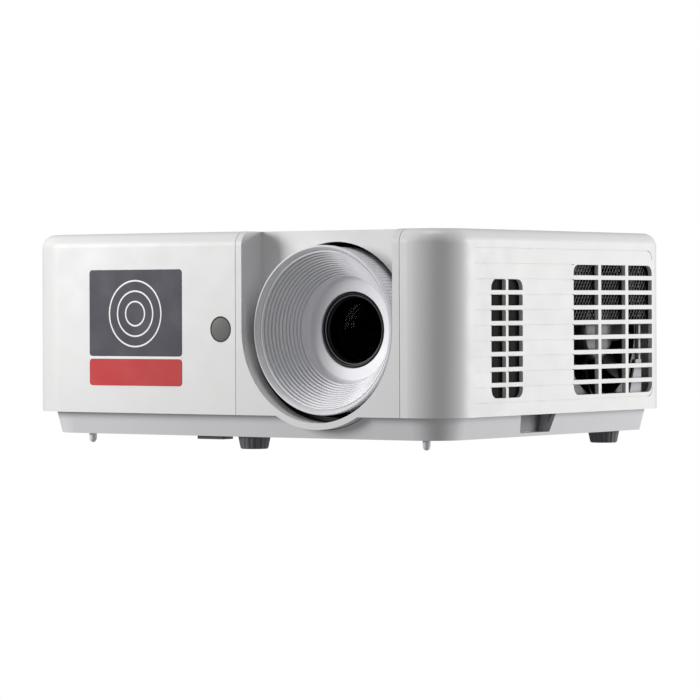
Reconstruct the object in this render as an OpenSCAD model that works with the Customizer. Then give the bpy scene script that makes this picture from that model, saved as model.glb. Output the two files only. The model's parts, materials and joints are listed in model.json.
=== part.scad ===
// Compact laser projector, built as an assembly of separate pieces.
// Millimetres. The origin is the centre of the footprint on the table top.
// +X is right when facing the lens, +Y runs to the back, +Z is up.

/* [Case] */
// Width of the case, left to right
case_w = 300; // [298:1:306]
// Depth of the case, front to back
case_d = 231; // [230:1:236]
// Height of the top face above the table
case_h = 123.5; // [122.5:0.5:126]
// Height of the joint between base and upper cover
split_z = 19.7; // [19.2:0.1:20]
// Height of the underside above the table
under_z = 7.1; // [6.8:0.1:7.4]
// Wall thickness of the covers
wall = 2.5; // [2.2:0.1:2.6]
// Radius of the two upright corners in front
corner_r = 26; // [22:1:28]
// Radius of the two upright corners behind
back_corner_r = 10; // [10:0.5:14]
// Radius of the edge around the top face
top_r = 8; // [6:0.5:9]
// Inset of the base from the cover at the front, back and right
base_inset = 5.5; // [4:0.5:6]
// Inset of the base from the cover at the left
base_inset_left = 8.5; // [5:0.5:9]
// How much the base narrows towards its underside
base_taper = 3.2; // [1:0.1:4]

/* [Side vents] */
// Spacing of the horizontal grooves on the side walls
groove_pitch = 8.56; // [8.3:0.02:8.6]
// Height of the highest groove
groove_top_z = 112.8; // [112:0.1:113]
// Height of one vent opening
cell_h = 6.1; // [5:0.1:6.5]
// Width and depth of a groove
groove_w = 0.6; // [0.4:0.1:1]

/* [Lens] */
// Distance of the lens axis to the right of the middle
lens_x = 62.5; // [62:0.5:63]
// Height of the lens axis
lens_z = 67.6; // [67.2:0.1:68]
// Outer radius of the focus ring's rim
rim_r = 47.5; // [46.8:0.1:47.8]
// Distance of the rim behind the front face
rim_back = 5.6; // [4:0.1:7]
// Number of fine grooves in the funnel of the focus ring
funnel_grooves = 15; // [8:1:20]
// Depth of the lens bay
bay_depth = 19.3; // [18:0.1:20]

/* [Keys] */
// Travel of a key
key_travel = 0.8; // [0.4:0.1:0.8]

/* [Hidden] */

$fn = 72;
gap = 0.4;                       // seam between neighbouring covers
air = 0.3;                       // clearance between pieces that move past each other
fit = 0.05;                      // radial clearance of a running fit
eps = 1;                         // how far a cut runs past a face

front_y = -case_d / 2;
back_y = case_d / 2;
side_x = case_w / 2;
floor_z = under_z + wall;

// Lens bay: between two seams, around the lens axis
bay_r = 51.75;
bay_rim = 3.65;
bay_left = lens_x - 56;
bay_right = lens_x + 56.5;
bay_top_end = front_y + 45.5;
bay_back = front_y + bay_depth;
bay_hole_r = 49.5;

// Focus ring and lens, along the lens axis
rim_y = front_y + rim_back;
funnel_start = [rim_r - 1.3, rim_y + 1.2];
funnel_end = [30.5, front_y + 30.5];
ring_end = front_y + 41.5;
barrel_r = 26;
barrel_bore = 21.85;
barrel_front = front_y + 37.7;
barrel_end = front_y + 78;
cell_front = front_y + 35.5;
cell_end = front_y + 59.5;
zoom_front = front_y + 57.5;
zoom_len = 10;

// Places of screws, feet, pegs and standoffs, as [x, y]
cover_post_xy = [[-122, -99.5], [120, -92], [-128, 98], [112, 102]];
insert_xy = [[-90, -60], [90, -60], [-90, 60], [90, 60]];
peg_xy = [[-109, -102], [127.5, -102]];
front_foot_xy = [5, -96];
rear_left_xy = [-126, 82];
rear_right_xy = [129, 82];
pad_xy = [-21.6, -98];

// Standoffs of the base as [x, y, radius, top]
board_z = 30;
power_z = 24;
engine_z = 28;
wheel_z = 22;
laser_z = 36;
sink_z = 28;
fan_z = 26;
standoffs = [
    [-124, 30, 3, power_z], [-84, 30, 3, power_z], [-112, 90, 3, power_z], [-84, 88, 3, power_z],
    [-68, 58, 3, board_z], [98, 58, 3, board_z], [-68, 104, 3, board_z], [98, 104, 3, board_z],
    [30, -28, 4, engine_z], [95, -28, 4, engine_z], [30, 38, 4, engine_z], [95, 38, 4, engine_z],
    [-12, -24, 3, wheel_z], [12, -24, 3, wheel_z], [-12, 28, 3, wheel_z], [12, 28, 3, wheel_z],
    [-70, -2, 4, laser_z], [-30, -2, 4, laser_z], [-70, 34, 4, laser_z], [-30, 34, 4, laser_z],
    [-106, -90, 4, sink_z], [-76, -90, 4, sink_z], [-106, -22, 4, sink_z], [-76, -22, 4, sink_z],
    [-129, -80, 3, fan_z], [-129, -32, 3, fan_z], [129, 36, 3, fan_z - 2], [129, 96, 3, fan_z - 2]];

// Fans: 80 mm square, 25 mm deep
fan_size = 80;
fan_depth = 25;
fan_centre_z = fan_z + fan_size / 2;
intake_y = -56;
exhaust_y = 54;
fan_out_x = side_x - 6;
bracket_y = exhaust_y + fan_size / 2 + 2.5;

mesh_gap = wall + 0.4;
mesh_t = 1;
mesh_rim = 2.4;
mesh_pitch = 6;
mesh_wire = 0.8;

// Keys as [x, y]
pad_x = -60;
pad_y = 50;
arrow_step = 15;
key_top = case_h + 0.6;
bezel_half = [39.7, 33.7];
bezel_centre = [pad_x, 56];

module on_lens_axis() translate([lens_x, 0, lens_z]) rotate([-90, 0, 0]) children();

module upright(xy, z0, z1, r) translate([xy[0], xy[1], z0]) cylinder(h = z1 - z0, r = r);

module box(x0, x1, y0, y1, z0, z1) translate([x0, y0, z0]) cube([x1 - x0, y1 - y0, z1 - z0]);

// A solid with upright corners of radius r in front and r_back behind. Its edge has the outline
// given as a child: x is how far inside the face, from -edge to 0, and y is the height.
module edged_block(x0, x1, y0, y1, r, r_back, edge, z0, z1) {
    rs = [r_back, r_back, r, r];
    cx = [x1 - r_back, x0 + r_back, x0 + r, x1 - r];
    cy = [y1 - r_back, y1 - r_back, y0 + r, y0 + r];
    run = [y1 - y0 - r - r_back, x1 - x0 - 2 * r_back, y1 - y0 - r - r_back, x1 - x0 - 2 * r];
    box(x0 + edge, x1 - edge, y0 + r, y1 - r_back, z0, z1);
    box(x0 + r, x1 - r, y0 + edge, y0 + r, z0, z1);
    box(x0 + r_back, x1 - r_back, y1 - r_back, y1 - edge, z0, z1);
    for (i = [0 : 3]) {
        translate([cx[i], cy[i], 0]) rotate([0, 0, 90 * i]) rotate_extrude(angle = 90) {
            translate([rs[i], 0]) children();
            translate([0, z0]) square([rs[i] - edge, z1 - z0]);
        }
        translate([cx[i], cy[i], 0]) rotate([0, 0, 90 * i]) rotate([90, 0, 0])
            linear_extrude(run[i]) translate([rs[i], 0]) children();
    }
}

// Upright wall with a quarter-round edge at the top
module edge_outline(edge, r_top, z0, z1) {
    translate([-edge, z0]) square([edge, z1 - z0 - r_top]);
    translate([-edge, z1 - r_top]) square([edge - r_top, r_top]);
    translate([-r_top, z1 - r_top]) intersection() {
        circle(r_top);
        square(r_top);
    }
}

module case_shape(inset, z0) {
    r = corner_r - inset;
    r_back = back_corner_r - inset;
    edge = r_back - 0.5;
    z1 = case_h - inset;
    edged_block(-side_x + inset, side_x - inset, front_y + inset, back_y - inset, r, r_back, edge, z0, z1)
        edge_outline(edge, top_r - inset, z0, z1);
}

module case_plate(inset, z0, z1) {
    r = corner_r - inset;
    r_back = back_corner_r - inset;
    edge = r_back - 0.5;
    edged_block(-side_x + inset, side_x - inset, front_y + inset, back_y - inset, r, r_back, edge, z0, z1)
        translate([-edge, z0]) square([edge, z1 - z0]);
}

module cover_skin() difference() {
    case_shape(0, split_z);
    case_shape(wall, split_z - eps);
}

module bay_zone(margin) {
    box(bay_left + margin, bay_right - margin, front_y - eps, bay_top_end - margin, 0, case_h + eps);
}

// Rounded rectangle seen along X: a is Y, b is Z
module side_plate(x0, x1, y0, y1, z0, z1, r) {
    translate([x0, 0, 0]) rotate([90, 0, 90]) linear_extrude(x1 - x0) {
        translate([y0 + r, z0]) square([y1 - y0 - 2 * r, z1 - z0]);
        translate([y0, z0 + r]) square([y1 - y0, z1 - z0 - 2 * r]);
        for (y = [y0 + r, y1 - r], z = [z0 + r, z1 - r]) translate([y, z]) circle(r);
    }
}

function groove_z(i) = groove_top_z - i * groove_pitch;

// One vent: columns of openings whose tops line up with the grooves
module vent(y0, cols, cell_w, bar_w, first) {
    last = 9;
    y1 = y0 + cols * cell_w + (cols - 1) * bar_w;
    intersection() {
        side_plate(side_x - wall - eps, side_x + eps, y0, y1, groove_z(last) - cell_h, groove_z(first), 5);
        for (c = [0 : cols - 1], i = [first : last])
            box(side_x - wall - eps, side_x + eps, y0 + c * (cell_w + bar_w), y0 + c * (cell_w + bar_w) + cell_w,
                groove_z(i) - cell_h, groove_z(i));
    }
}

groove_y = [-88, 103];
groove_bend = 5;

module groove_corner(z, up) {
    x0 = side_x - groove_w;
    translate([x0, groove_y[1] - groove_bend, z + up * groove_bend]) rotate([0, 90, 0]) intersection() {
        difference() {
            cylinder(h = groove_w + eps, r = groove_bend + groove_w / 2);
            translate([0, 0, -eps]) cylinder(h = groove_w + 3 * eps, r = groove_bend - groove_w / 2);
        }
        translate([up > 0 ? 0 : -2 * groove_bend, 0, 0]) cube([2 * groove_bend, 2 * groove_bend, 2 * eps]);
    }
}

module side_cuts() {
    vent(-71.1, 2, 14.85, 2.5, 2);
    vent(15, 3, 27.15, 3.2, 1);
    for (i = [0 : 10]) {
        end = (i == 0 || i == 10) ? groove_y[1] - groove_bend : 15.2;
        box(side_x - groove_w, side_x + eps, groove_y[0], end,
            groove_z(i) - groove_w / 2, groove_z(i) + groove_w / 2);
    }
    groove_corner(groove_z(0), -1);
    groove_corner(groove_z(10), 1);
}

window_xz = [-4.1, 68.1];
io_window = [-120, 110, 25, 59];
slot_half = [18.5, 6];
slot_y = zoom_front + zoom_len / 2;

module top_cover() color("white") difference() {
    union() {
        cover_skin();
        for (p = cover_post_xy) upright(p, split_z + 2.8, case_h - wall / 2, 3.5);
    }
    bay_zone(-gap / 2);
    side_cuts();
    rotate([0, 0, 180]) side_cuts();
    for (p = cover_post_xy) upright(p, split_z, split_z + 20, 1.5);
    translate([window_xz[0], front_y - eps, window_xz[1]]) rotate([-90, 0, 0]) cylinder(h = wall + 2 * eps, r = 7.4);
    box(bezel_centre[0] - bezel_half[0] - air, bezel_centre[0] + bezel_half[0] + air,
        bezel_centre[1] - bezel_half[1] - air, bezel_centre[1] + bezel_half[1] + air,
        case_h - wall - eps, case_h + eps);
    box(lens_x - slot_half[0], lens_x + slot_half[0], slot_y - slot_half[1], slot_y + slot_half[1],
        case_h - wall - eps, case_h + eps);
    box(io_window[0], io_window[1], back_y - wall - eps, back_y + eps, io_window[2], io_window[3]);
}

// U shape around the lens axis, open at the top, along Y
module bay_prism(r, y0, y1) translate([lens_x, y1, lens_z]) rotate([90, 0, 0]) linear_extrude(y1 - y0) {
    circle(r);
    translate([-r, 0]) square([2 * r, case_h]);
}

module lens_bay() color("white") difference() {
    union() {
        intersection() {
            cover_skin();
            bay_zone(gap / 2);
        }
        intersection() {
            bay_prism(bay_r + bay_rim, front_y, bay_back + wall);
            union() {
                case_shape(0, split_z);
                box(lens_x - 40, lens_x + 40, front_y, bay_back + wall, 0, split_z);
            }
        }
    }
    bay_prism(bay_r, front_y - eps, bay_back);
    on_lens_axis() translate([0, 0, front_y]) cylinder(h = bay_depth + wall + eps, r = bay_hole_r);
}

base_r = 22;
base_back_r = 9;

module base_shape(inset, z0, z1, below) {
    r = base_r - inset;
    r_back = base_back_r - inset;
    edge = r_back - 0.5;
    edged_block(-side_x + base_inset_left + inset, side_x - base_inset - inset,
        front_y + base_inset + inset, back_y - base_inset - inset, r, r_back, edge, z0, z1)
        polygon([[-edge, z0], [-below, z0], [0, z1], [-edge, z1]]);
}

notch_y = [-32.5, 4.5];

module notch_prism(x0, x1, grow) translate([x0, 0, 0]) rotate([90, 0, 90]) linear_extrude(x1 - x0)
    polygon([[notch_y[0] - grow, split_z + 0.01], [notch_y[0] + 3 - grow, floor_z - 0.5 - grow],
        [notch_y[1] - 3 + grow, floor_z - 0.5 - grow], [notch_y[1] + grow, split_z + 0.01]]);

module bottom_case() color("gainsboro") difference() {
    union() {
        difference() {
            base_shape(0, under_z, split_z, base_taper);
            base_shape(wall, floor_z, split_z + eps, base_taper);
        }
        difference() {
            case_plate(wall + air, split_z, split_z + wall);
            base_shape(wall, split_z - eps, split_z + 2 * wall, 0);
        }
        notch_prism(side_x - 18, side_x - 10, 2);
        for (p = cover_post_xy) upright(p, floor_z - 0.5, split_z + 2.6, 4.5);
        for (p = insert_xy) upright(p, floor_z - 0.5, floor_z + 7.4, 5);
        for (s = standoffs) upright(s, floor_z - 0.5, s[3] - 0.1, s[2]);
        upright(front_foot_xy, floor_z - 0.5, split_z + 0.3, 7);
        for (p = [rear_left_xy, rear_right_xy]) upright(p, floor_z - 0.5, floor_z + 5.4, 7);
        for (p = peg_xy) {
            upright(p, 3.7, under_z + 0.5, 2.2);
            translate([p[0], p[1], 3.7]) sphere(r = 2);
        }
    }
    notch_prism(side_x - 15.5, side_x + eps, 0);
    on_lens_axis() translate([0, 0, front_y - eps]) cylinder(h = bay_depth + wall + gap + eps, r = bay_r + bay_rim + gap);
    for (p = cover_post_xy) {
        upright(p, under_z - eps, under_z + 5.9, 3.2);
        upright(p, under_z, split_z + 2 * wall, 1.8);
    }
    for (p = insert_xy) upright(p, under_z - eps, under_z + 8, 3.05);
    for (p = [front_foot_xy, rear_left_xy, rear_right_xy]) upright(p, under_z - eps, split_z + wall, 4 + fit);
}

// Ports on the main board: x, width, height
port_y = back_y - 17;
port_end = back_y - 1.7;
port_z = board_z + 1.6;
lan_x = 92;
hdmi_x = [72, 52];
usb_x = 33;
dsub_x = [5, -31];
audio_x = [-57, -67];
inlet_x = -104;
inlet_z = 40;

module port_hole(x, w, h) box(x - w / 2 - air, x + w / 2 + air, back_y - 5, back_y, port_z - 0.2, port_z + h + air);

module io_panel() color("dimgray") difference() {
    box(io_window[0] - 4, io_window[1] + 4, back_y - 4.7, back_y - 2.7, io_window[2] - 1.9, io_window[3] + 3);
    port_hole(lan_x, 16, 13.5);
    for (x = hdmi_x) port_hole(x, 15, 6.5);
    port_hole(usb_x, 14, 7.5);
    for (x = dsub_x) port_hole(x, 31, 12.5);
    for (x = audio_x) translate([x, back_y - 6, port_z + 5]) rotate([-90, 0, 0]) cylinder(h = 6, r = 3.3);
    box(inlet_x - 14.3, inlet_x + 14.3, back_y - 6, back_y, inlet_z - 10.3, inlet_z + 10.3);
    translate([-78, back_y - 6, 34]) cube([7, 6, 3]);
}

module ir_window() color("dimgray") translate([window_xz[0], front_y - 0.3, window_xz[1]]) rotate([-90, 0, 0]) {
    cylinder(h = wall + 0.3, r = 7.3);
    translate([0, 0, wall + 0.5]) cylinder(h = 1.2, r = 9);
    cylinder(h = wall + 1, r = 6.5);
}

label = [-100, -32, 35.5, 102.4];

module front_label() color("slategray") {
    box(label[0], label[1], front_y - 0.25, front_y - 0.02, label[2] + 17, label[3]);
    box(label[0], label[1], front_y - 0.25, front_y - 0.02, label[2], label[2] + 15.5);
}

// Funnel with concentric grooves, from the rim to the flange around the lens
function funnel_points() = let(run = funnel_end - funnel_start, step = run / funnel_grooves, deep = [0.5, 0.35])
    [for (i = [funnel_grooves - 1 : -1 : 0], p = [1, 0.42, 0.4, 0]) let(at = funnel_start + step * (i + p))
        (p == 1 || p == 0.42) ? at + deep : at];

module focus_ring() color("whitesmoke") on_lens_axis() {
    rotate_extrude() polygon(concat([
        [rim_r - 0.9, rim_y], [rim_r - 0.3, rim_y], [rim_r, rim_y + 0.5], [rim_r, rim_y + 3.2],
        [rim_r - 1.5, rim_y + 4], [rim_r - 1.5, ring_end], [rim_r - 3.8, ring_end],
        [rim_r - 3.8, rim_y + 10.6], [33.4, front_y + 32.6], [31.5, front_y + 35], [29, front_y + 35.5],
        [29, front_y + 53.5], [barrel_r + fit, front_y + 53.5], [barrel_r + fit, barrel_front - air],
        [22.6, barrel_front - air], [22.6, front_y + 34.8], [23.4, front_y + 34], [27, front_y + 32.6]],
        [funnel_end], funnel_points()));
    translate([0, 0, rim_y + 5]) linear_extrude(ring_end - rim_y - 6) difference() {
        union() {
            circle(rim_r - 1.4);
            for (a = [0 : 6 : 354]) rotate(a) translate([rim_r - 2, -0.7]) square([1.4, 1.4]);
        }
        circle(rim_r - 2.5);
    }
}

module lens_barrel() color("dimgray") on_lens_axis() difference() {
    union() {
        translate([0, 0, barrel_front]) cylinder(h = barrel_end - barrel_front, r = barrel_r);
        translate([0, 0, zoom_front - 2.3]) cylinder(h = 2, r = 28);
        translate([0, 0, zoom_front + zoom_len + 0.3]) cylinder(h = 2, r = 28);
        translate([0, 0, barrel_end - 3]) cylinder(h = 2.8, r = 36);
    }
    translate([0, 0, barrel_front - eps]) cylinder(h = 60, r = barrel_bore);
    for (a = [45 : 90 : 315]) rotate(a) translate([31.5, 0, barrel_end - 4]) cylinder(h = 5, r = 1.7);
}

module focus_cell() color("black") on_lens_axis() rotate_extrude() polygon([
    [19.4, cell_front], [21.4, cell_front], [21.8, cell_front + 1], [21.8, cell_end], [19.6, cell_end],
    [19.6, cell_front + 5.6], [18.2, cell_front + 5], [18.2, cell_front + 3]]);

// Half section of a lens with two curved faces; its edge runs from z0 to z1
module lens(r, z0, z1, front, back) rotate_extrude($fn = 180) intersection() {
    translate([0, z0 + front]) circle(sqrt(front * front + r * r), $fn = 720);
    translate([0, z1 - back]) circle(sqrt(back * back + r * r), $fn = 720);
    translate([0, z0 - 10]) square([r, z1 - z0 + 20]);
}

module front_lens() color("midnightblue", 0.6) on_lens_axis()
    lens(19.5, cell_front + 5.7, cell_front + 9.7, 55, 80);

module zoom_ring() color("whitesmoke") difference() {
    union() {
        on_lens_axis() translate([0, 0, zoom_front]) cylinder(h = zoom_len, r = 31);
        box(lens_x - 3, lens_x + 3, slot_y - 3, slot_y + 3, lens_z + 28, case_h + 0.5);
        box(lens_x - 4.5, lens_x + 4.5, slot_y - 3.5, slot_y + 3.5, case_h - 2, case_h + 0.5);
    }
    on_lens_axis() translate([0, 0, zoom_front - eps]) cylinder(h = zoom_len + 2 * eps, r = barrel_r + fit);
}

module zoom_cell() color("black") on_lens_axis() difference() {
    translate([0, 0, cell_end + 4]) cylinder(h = 13, r = 21.8);
    translate([0, 0, cell_end + 3]) cylinder(h = 9, r = 17.05);
    translate([0, 0, cell_end + 3]) cylinder(h = 20, r = 15);
}

module zoom_lens() color("midnightblue", 0.6) on_lens_axis()
    lens(17, cell_end + 7, cell_end + 11.5, 40, 60);

engine = [22, 103, front_y + 79.5, 46, engine_z, 94];
light_y = 24;
light_z = 56;

module engine_housing() color("silver") difference() {
    union() {
        box(engine[0], engine[1], engine[2], engine[3], engine[4], engine[5]);
        for (p = [[24.5, -32], [100.5, -32], [24.5, 42], [100.5, 42]]) upright(p, engine_z, engine[5], 2.5);
    }
    difference() {
        box(engine[0] + 3, engine[1] - 3, engine[2] + 3, engine[3] - 3, engine[4] + 3, engine[5] + eps);
        box(45, 80, 18, 40, engine[4], 50);
    }
    on_lens_axis() translate([0, 0, engine[2] - eps]) cylinder(h = 5, r = 24);
    translate([engine[0] - eps, light_y, light_z]) rotate([0, 90, 0]) cylinder(h = 5, r = 8);
    box(lens_x - 13, lens_x + 13, engine[3] - 4, engine[3] + eps, lens_z - 10, lens_z + 10);
}

module engine_lid() color("silver") difference() {
    box(engine[0], engine[1], engine[2], engine[3], engine[5] + 0.1, engine[5] + 2.5);
    for (p = [[27, -30], [98, -30], [27, 40], [98, 40]]) upright(p, engine[5] - eps, engine[5] + 4, 1.6);
}

module prism() color("lightcyan", 0.6) translate([0, 39, 0]) rotate([90, 0, 0]) linear_extrude(20)
    polygon([[46, 50.1], [79, 50.1], [79, 84], [62, 88], [46, 72]]);

module dmd_board() color("darkgreen") {
    box(34, 92, engine[3] + 0.3, engine[3] + 1.9, 44, 93);
    box(lens_x - 11, lens_x + 11, engine[3] - 2.5, engine[3] + 0.3, lens_z - 8, lens_z + 8);
}

module dmd_heatsink() color("silver") {
    box(42, 83, engine[3] + 2.1, engine[3] + 6, 50, 88);
    for (i = [0 : 8]) box(42 + i * 4.95, 43.4 + i * 4.95, engine[3] + 5.5, engine[3] + 26, 50, 88);
}

wheel_y = 2;
wheel_x = 4;

module wheel_housing() color("dimgray") difference() {
    box(-15, 18, -30, 34, wheel_z, 90);
    box(-16, 15.5, -27.5, 31.5, wheel_z + 2.5, 87.5);
    translate([14, light_y, light_z]) rotate([0, 90, 0]) cylinder(h = 5, r = 8);
}

module wheel_motor() color("gray") difference() {
    union() {
        box(-17.6, -15.1, -30, 34, wheel_z, 90);
        translate([-16, wheel_y, light_z]) rotate([0, 90, 0]) cylinder(h = 15, r = 11);
    }
    translate([-10, wheel_y, light_z]) rotate([0, 90, 0]) cylinder(h = 12, r = 1.5 + fit);
    translate([-18, light_y, light_z]) rotate([0, 90, 0]) cylinder(h = 5, r = 6);
}

module phosphor_wheel() color("gold") translate([0, wheel_y, light_z]) rotate([0, 90, 0]) {
    translate([0, 0, wheel_x]) cylinder(h = 1.5, r = 28);
    translate([0, 0, wheel_x - 4]) cylinder(h = 7, r = 8);
    translate([0, 0, -9]) cylinder(h = 12, r = 1.5);
    rotate(90) translate([20, 0, wheel_x + 1]) cylinder(h = 1.5, r = 1.2);
}

pipe_z = [46, 64, 82];
pipe_x = -90;

module laser_module() color("slategray") difference() {
    union() {
        box(-84, -22, -8, 40, laser_z, 92);
        box(-97, -84, -8, 40, laser_z + 2, 92);
    }
    for (z = pipe_z) translate([pipe_x, -9, z]) rotate([-90, 0, 0]) cylinder(h = 50, r = 3 + fit);
    translate([-50, light_y, light_z]) rotate([0, 90, 0]) cylinder(h = 29, r = 6);
}

module laser_heatsink() color("silver") difference() {
    union() {
        box(-112, -70, -96, -16, sink_z, sink_z + 2);
        box(-112, -70, -96, -16, 98, 99.5);
        for (i = [0 : 18]) box(-112, -70, -96 + i * 4.4, -95.2 + i * 4.4, sink_z + 1, 99);
    }
    for (z = pipe_z) translate([pipe_x, -97, z]) rotate([-90, 0, 0]) cylinder(h = 83, r = 3 + fit);
}

module heat_pipes() color("peru") for (z = pipe_z)
    translate([pipe_x, -98, z]) rotate([-90, 0, 0]) cylinder(h = 136, r = 3);

// Fan along +Z: motor plate at z = 0, open face at z = fan_depth
module fan_frame() difference() {
    union() {
        difference() {
            translate([-fan_size / 2, -fan_size / 2, 0]) cube([fan_size, fan_size, fan_depth]);
            translate([0, 0, -eps]) cylinder(h = fan_depth + 2 * eps, r = 38.5);
        }
        cylinder(h = 3, r = 17);
        cylinder(h = 16, r = 12);
        for (a = [20 : 90 : 290]) rotate(a) translate([15, -2, 0]) cube([24.5, 4, 2.5]);
    }
    translate([0, 0, 2]) cylinder(h = 30, r = 1.5 + fit);
    for (x = [-35.75, 35.75], y = [-35.75, 35.75]) translate([x, y, -eps]) cylinder(h = fan_depth + 2 * eps, r = 2.15);
}

module fan_rotor() {
    difference() {
        translate([0, 0, 4]) cylinder(h = 20, r = 17);
        translate([0, 0, 3]) cylinder(h = 17, r = 14);
    }
    translate([0, 0, 3]) cylinder(h = 19, r = 1.5);
    for (a = [0 : 360 / 7 : 359]) rotate(a) translate([16.5, 0, 14]) rotate([38, 0, 0])
        translate([0, -12, -0.7]) cube([20.5, 24, 1.4]);
}

module at_intake() translate([-fan_out_x + fan_depth, intake_y, fan_centre_z]) rotate([0, -90, 0]) children();
module at_exhaust() translate([fan_out_x - fan_depth, exhaust_y, fan_centre_z]) rotate([0, 90, 0]) children();

module intake_fan_frame() color("black") at_intake() fan_frame();
module intake_rotor() color("dimgray") at_intake() fan_rotor();
module exhaust_fan_frame() color("black") at_exhaust() fan_frame();
module exhaust_rotor() color("dimgray") at_exhaust() fan_rotor();

module fan_bracket() color("lightgray") intersection() {
    union() {
        box(116, side_x - wall, bracket_y - 2, bracket_y, fan_z - 2, 106);
        box(116, side_x - wall, 13, bracket_y + 5, fan_z - 1.9, fan_z - 0.1);
        translate([side_x - 5.4, 0, 0]) rotate([90, 0, 90]) linear_extrude(2.6)
            polygon([[bracket_y - 14, fan_z - 1], [bracket_y + 1, fan_z - 1], [bracket_y + 1, 49], [bracket_y - 5, 49]]);
    }
    case_plate(wall + 1.8, fan_z - 3, 107);
}

// Mesh that lines the inside of a side wall, cut from a thin shell by a grid of bars
module vent_mesh(side, y0, y1, z0, z1) color("black") intersection() {
    difference() {
        case_plate(mesh_gap, z0, z1);
        case_plate(mesh_gap + mesh_t, z0 - eps, z1 + eps);
    }
    union() {
        for (y = [y0, y1 - mesh_rim]) mesh_bar(side, y, y + mesh_rim, z0, z1);
        for (z = [z0, z1 - mesh_rim]) mesh_bar(side, y0, y1, z, z + mesh_rim);
        for (y = [y0 + mesh_pitch : mesh_pitch : y1 - mesh_pitch / 2]) mesh_bar(side, y, y + mesh_wire, z0, z1);
        for (z = [z0 + mesh_pitch : mesh_pitch : z1 - mesh_pitch / 2]) mesh_bar(side, y0, y1, z, z + mesh_wire);
    }
}

module mesh_bar(side, y0, y1, z0, z1) {
    x0 = side < 0 ? -side_x : side_x - 14;
    box(x0, x0 + 14, y0, y1, z0, z1);
}

module vent_meshes() {
    vent_mesh(1, 12, 104, groove_z(5) - 0.5, 108);
    vent_mesh(1, -74, -36, 26, 100);
    vent_mesh(-1, -102, -12, 26, 108);
}

module main_board() color("darkgreen") difference() {
    union() {
        box(-75, 105, 52, port_y + 12, board_z, board_z + 1.6);
        box(-20, 10, 60, 84, board_z + 1.5, board_z + 4);
        box(-55, -41, 62, 78, board_z + 1.5, board_z + 3.4);
    }
    for (s = standoffs) if (s[3] == board_z) upright(s, board_z - eps, board_z + 4, 1.6);
}

module socket(x, w, h, skin) difference() {
    box(x - w / 2, x + w / 2, port_y, port_end, port_z, port_z + h);
    box(x - w / 2 + skin, x + w / 2 - skin, port_y + 3, port_end + eps, port_z + skin, port_z + h - skin);
}

module hdmi_ports() color("silver") for (x = hdmi_x) socket(x, 15, 6.5, 0.6);

module lan_port() color("silver") {
    socket(lan_x, 16, 13.5, 1.8);
    box(lan_x - 6, lan_x + 6, port_y + 2.5, port_y + 4, port_z + 1.5, port_z + 4);
}

module usb_port() color("silver") socket(usb_x, 14, 7.5, 0.7);

module dsub_ports() color("royalblue") for (x = dsub_x) {
    difference() {
        box(x - 15.5, x + 15.5, port_y, port_end - 4, port_z, port_z + 12.5);
        for (s = [-12.5, 12.5]) translate([x + s, port_y - eps, port_z + 6.2]) rotate([-90, 0, 0])
            cylinder(h = 20, r = 1.6);
    }
    difference() {
        box(x - 8.5, x + 8.5, port_end - 5, port_end + 1, port_z + 2, port_z + 10.4);
        box(x - 7.9, x + 7.9, port_end - 3.5, port_end + 2, port_z + 2.6, port_z + 9.8);
    }
}

module audio_jacks() color("black") for (x = audio_x) difference() {
    union() {
        box(x - 4.5, x + 4.5, port_y, back_y - 5, port_z, port_z + 10);
        translate([x, port_y, port_z + 5]) rotate([-90, 0, 0]) cylinder(h = port_end - port_y, r = 3);
    }
    translate([x, port_y + 2, port_z + 5]) rotate([-90, 0, 0]) cylinder(h = 20, r = 1.8);
}

module ac_inlet() color("black") difference() {
    union() {
        box(inlet_x - 14, inlet_x + 14, back_y - 20, back_y - 1.7, inlet_z - 10, inlet_z + 10);
        for (x = [-7, 0, 7]) box(inlet_x + x - 1, inlet_x + x + 1, back_y - 26, back_y - 19, inlet_z - 3, inlet_z + 3);
    }
    difference() {
        box(inlet_x - 12, inlet_x + 12, back_y - 17, back_y, inlet_z - 8, inlet_z + 8);
        for (x = [-7, 0, 7]) box(inlet_x + x - 1, inlet_x + x + 1, back_y - 18, back_y - 4,
            inlet_z - 2 + (x == 0 ? 2 : 0), inlet_z + 2 + (x == 0 ? 2 : 0));
    }
}

module power_board() color("darkgreen") difference() {
    box(-132, -78, 24, 86, power_z, power_z + 1.6);
    for (s = standoffs) if (s[3] == power_z) upright(s, power_z - eps, power_z + 4, 1.6);
}

module power_parts() color("goldenrod") {
    z = power_z + 1.7;
    box(-116, -88, 44, 70, z, z + 24);
    for (y = [50, 62]) upright([-124, y], z, z + 28, 5);
    upright([-85, 62], z, z + 14, 4);
    box(-118, -100, 28, 40, z, z + 9);
    box(-108, -92, 75, 83, z, z + 16);
}

module speaker() color("black") difference() {
    box(-side_x + 3.4, -side_x + 27, 39, 71, 62, 102);
    translate([-side_x + 3, 55, 82]) rotate([0, 90, 0]) cylinder(h = 4, r1 = 14, r2 = 9);
}

function key_xy(name) = name == "power" ? [pad_x, pad_y + 29]
    : name == "menu" ? [pad_x - 26, pad_y]
    : name == "source" ? [pad_x + 26, pad_y]
    : name == "up" ? [pad_x, pad_y + arrow_step]
    : name == "down" ? [pad_x, pad_y - arrow_step]
    : name == "left" ? [pad_x - arrow_step, pad_y]
    : name == "right" ? [pad_x + arrow_step, pad_y]
    : [pad_x, pad_y];
key_names = ["power", "menu", "source", "up", "down", "left", "right", "enter"];

function key_size(name) = name == "up" || name == "down" ? [9, 6]
    : name == "left" || name == "right" ? [6, 9]
    : name == "enter" ? [12, 12] : [10, 10];

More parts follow.
